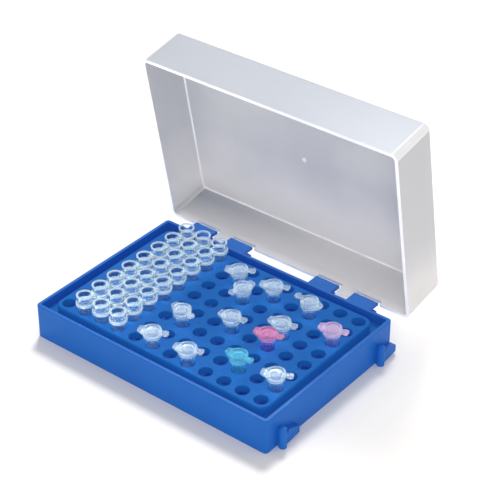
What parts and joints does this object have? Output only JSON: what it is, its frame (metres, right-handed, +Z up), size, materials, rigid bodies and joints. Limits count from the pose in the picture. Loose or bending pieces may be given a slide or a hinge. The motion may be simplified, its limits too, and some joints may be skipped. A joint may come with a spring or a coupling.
{
  "type": "microcentrifuge tube rack",
  "caption": "Shallow rack box with a grid of wells and a hinged translucent lid, holding capped thin-wall tubes and capped tube strips.",
  "frame": {"origin": "middle of the tray's flat underside", "axes": "+X along the long side to the right seen from the front, +Y towards the hinge, +Z up"},
  "size_m": [0.126, 0.1104, 0.1008],
  "materials": {
    "tray_blue": "satin",
    "plate_blue": "satin",
    "lid_frosted": "frosted translucent",
    "pin_white": "smooth",
    "tube_clear": "clear",
    "cap_clear": "clear",
    "tube_teal": "clear tinted",
    "cap_teal": "clear tinted",
    "tube_pink": "clear tinted",
    "cap_pink": "clear tinted",
    "tube_mauve": "clear tinted",
    "cap_mauve": "clear tinted"
  },
  "bodies": {
    "tray": {"base_tray": "tray_blue", "well_plate": "plate_blue", "hinge_pin_left": "pin_white", "hinge_pin_right": "pin_white"},
    "lid": {"lid": "lid_frosted"},
    "strip_1": {"tube_strip_1": "tube_clear"},
    "strip_caps_1": {"cap_strip_1": "cap_clear"},
    "strip_2": {"tube_strip_2": "tube_clear"},
    "strip_caps_2": {"cap_strip_2": "cap_clear"},
    "strip_3": {"tube_strip_3": "tube_clear"},
    "strip_caps_3": {"cap_strip_3": "cap_clear"},
    "tube_6a": {"tube_6a": "tube_clear"},
    "cap_6a": {"cap_6a": "cap_clear"},
    "tube_8a": {"tube_8a": "tube_clear"},
    "cap_8a": {"cap_8a": "cap_clear"},
    "tube_12b": {"tube_12b": "tube_clear"},
    "cap_12b": {"cap_12b": "cap_clear"},
    "tube_10b": {"tube_10b": "tube_teal"},
    "cap_10b": {"cap_10b": "cap_teal"},
    "tube_6c": {"tube_6c": "tube_clear"},
    "cap_6c": {"cap_6c": "cap_clear"},
    "tube_8d": {"tube_8d": "tube_clear"},
    "cap_8d": {"cap_8d": "cap_clear"},
    "tube_10d": {"tube_10d": "tube_pink"},
    "cap_10d": {"cap_10d": "cap_pink"},
    "tube_10e": {"tube_10e": "tube_clear"},
    "cap_10e": {"cap_10e": "cap_clear"},
    "tube_12f": {"tube_12f": "tube_mauve"},
    "cap_12f": {"cap_12f": "cap_mauve"},
    "tube_7f": {"tube_7f": "tube_clear"},
    "cap_7f": {"cap_7f": "cap_clear"},
    "tube_6g": {"tube_6g": "tube_clear"},
    "cap_6g": {"cap_6g": "cap_clear"},
    "tube_8g": {"tube_8g": "tube_clear"},
    "cap_8g": {"cap_8g": "cap_clear"},
    "tube_10g": {"tube_10g": "tube_clear"},
    "cap_10g": {"cap_10g": "cap_clear"}
  },
  "joints": [
    {"name": "lid_hinge", "type": "hinge", "parent": "tray", "child": "lid", "pos_m": [0, 0.0444, 0.0105], "axis": [-1, 0, 0], "range_deg": [-79, 0]},
    {"name": "strip_lift_1", "type": "slide", "parent": "tray", "child": "strip_1", "axis": [0, 0, 1], "range_m": [0, 0.03]},
    {"name": "strip_caps_lift_1", "type": "slide", "parent": "strip_1", "child": "strip_caps_1", "axis": [0, 0, 1], "range_m": [0, 0.012]},
    {"name": "strip_lift_2", "type": "slide", "parent": "tray", "child": "strip_2", "axis": [0, 0, 1], "range_m": [0, 0.03]},
    {"name": "strip_caps_lift_2", "type": "slide", "parent": "strip_2", "child": "strip_caps_2", "axis": [0, 0, 1], "range_m": [0, 0.012]},
    {"name": "strip_lift_3", "type": "slide", "parent": "tray", "child": "strip_3", "axis": [0, 0, 1], "range_m": [0, 0.03]},
    {"name": "strip_caps_lift_3", "type": "slide", "parent": "strip_3", "child": "strip_caps_3", "axis": [0, 0, 1], "range_m": [0, 0.012]},
    {"name": "tube_lift_6a", "type": "slide", "parent": "tray", "child": "tube_6a", "axis": [0, 0, 1], "range_m": [0, 0.03]},
    {"name": "cap_hinge_6a", "type": "hinge", "parent": "tube_6a", "child": "cap_6a", "pos_m": [-0.0095, -0.03293, 0.02126], "axis": [0.2756, -0.9613, 0], "range_deg": [0, 110]},
    {"name": "tube_lift_8a", "type": "slide", "parent": "tray", "child": "tube_8a", "axis": [0, 0, 1], "range_m": [0, 0.03]},
    {"name": "cap_hinge_8a", "type": "hinge", "parent": "tube_8a", "child": "cap_8a", "pos_m": [0.00841, -0.03258, 0.02126], "axis": [0.2079, -0.9781, 0], "range_deg": [0, 110]},
    {"name": "tube_lift_12b", "type": "slide", "parent": "tray", "child": "tube_12b", "axis": [0, 0, 1], "range_m": [0, 0.03]},
    {"name": "cap_hinge_12b", "type": "hinge", "parent": "tube_12b", "child": "cap_12b", "pos_m": [0.04458, -0.02419, 0.02126], "axis": [0.3256, -0.9455, 0], "range_deg": [0, 110]},
    {"name": "tube_lift_10b", "type": "slide", "parent": "tray", "child": "tube_10b", "axis": [0, 0, 1], "range_m": [0, 0.03]},
    {"name": "cap_hinge_10b", "type": "hinge", "parent": "tube_10b", "child": "cap_10b", "pos_m": [0.0263, -0.02232, 0.02126], "axis": [-0.0349, -0.9994, 0], "range_deg": [0, 110]},
    {"name": "tube_lift_6c", "type": "slide", "parent": "tray", "child": "tube_6c", "axis": [0, 0, 1], "range_m": [0, 0.03]},
    {"name": "cap_hinge_6c", "type": "hinge", "parent": "tube_6c", "child": "cap_6c", "pos_m": [-0.00955, -0.01224, 0.02126], "axis": [-0.2419, -0.9703, 0], "range_deg": [0, 110]},
    {"name": "tube_lift_8d", "type": "slide", "parent": "tray", "child": "tube_8d", "axis": [0, 0, 1], "range_m": [0, 0.03]},
    {"name": "cap_hinge_8d", "type": "hinge", "parent": "tube_8d", "child": "cap_8d", "pos_m": [0.00831, -0.00486, 0.02126], "axis": [0.0698, -0.9976, 0], "range_deg": [0, 110]},
    {"name": "tube_lift_10d", "type": "slide", "parent": "tray", "child": "tube_10d", "axis": [0, 0, 1], "range_m": [0, 0.03]},
    {"name": "cap_hinge_10d", "type": "hinge", "parent": "tube_10d", "child": "cap_10d", "pos_m": [0.02638, -0.0054, 0.02126], "axis": [0.1736, -0.9848, 0], "range_deg": [0, 110]},
    {"name": "tube_lift_10e", "type": "slide", "parent": "tray", "child": "tube_10e", "axis": [0, 0, 1], "range_m": [0, 0.03]},
    {"name": "cap_hinge_10e", "type": "hinge", "parent": "tube_10e", "child": "cap_10e", "pos_m": [0.02633, 0.00396, 0.02126], "axis": [0.1045, -0.9945, 0], "range_deg": [0, 110]},
    {"name": "tube_lift_12f", "type": "slide", "parent": "tray", "child": "tube_12f", "axis": [0, 0, 1], "range_m": [0, 0.03]},
    {"name": "cap_hinge_12f", "type": "hinge", "parent": "tube_12f", "child": "cap_12f", "pos_m": [0.04436, 0.01269, 0.02126], "axis": [0.1564, -0.9877, 0], "range_deg": [0, 110]},
    {"name": "tube_lift_7f", "type": "slide", "parent": "tray", "child": "tube_7f", "axis": [0, 0, 1], "range_m": [0, 0.045]},
    {"name": "cap_hinge_7f", "type": "hinge", "parent": "tube_7f", "child": "cap_7f", "pos_m": [0.00522, 0.01865, 0.02126], "axis": [-0.9903, 0.1392, 0], "range_deg": [0, 110]},
    {"name": "tube_lift_6g", "type": "slide", "parent": "tray", "child": "tube_6g", "axis": [0, 0, 1], "range_m": [0, 0.03]},
    {"name": "cap_hinge_6g", "type": "hinge", "parent": "tube_6g", "child": "cap_6g", "pos_m": [-0.00925, 0.02039, 0.02126], "axis": [0.4067, -0.9135, 0], "range_deg": [0, 110]},
    {"name": "tube_lift_8g", "type": "slide", "parent": "tray", "child": "tube_8g", "axis": [0, 0, 1], "range_m": [0, 0.03]},
    {"name": "cap_hinge_8g", "type": "hinge", "parent": "tube_8g", "child": "cap_8g", "pos_m": [0.00853, 0.02098, 0.02126], "axis": [0.2924, -0.9563, 0], "range_deg": [0, 90]},
    {"name": "tube_lift_10g", "type": "slide", "parent": "tray", "child": "tube_10g", "axis": [0, 0, 1], "range_m": [0, 0.03]},
    {"name": "cap_hinge_10g", "type": "hinge", "parent": "tube_10g", "child": "cap_10g", "pos_m": [0.0367, 0.02241, 0.02126], "axis": [0.0175, 0.9998, 0], "range_deg": [0, 110]}
  ]
}
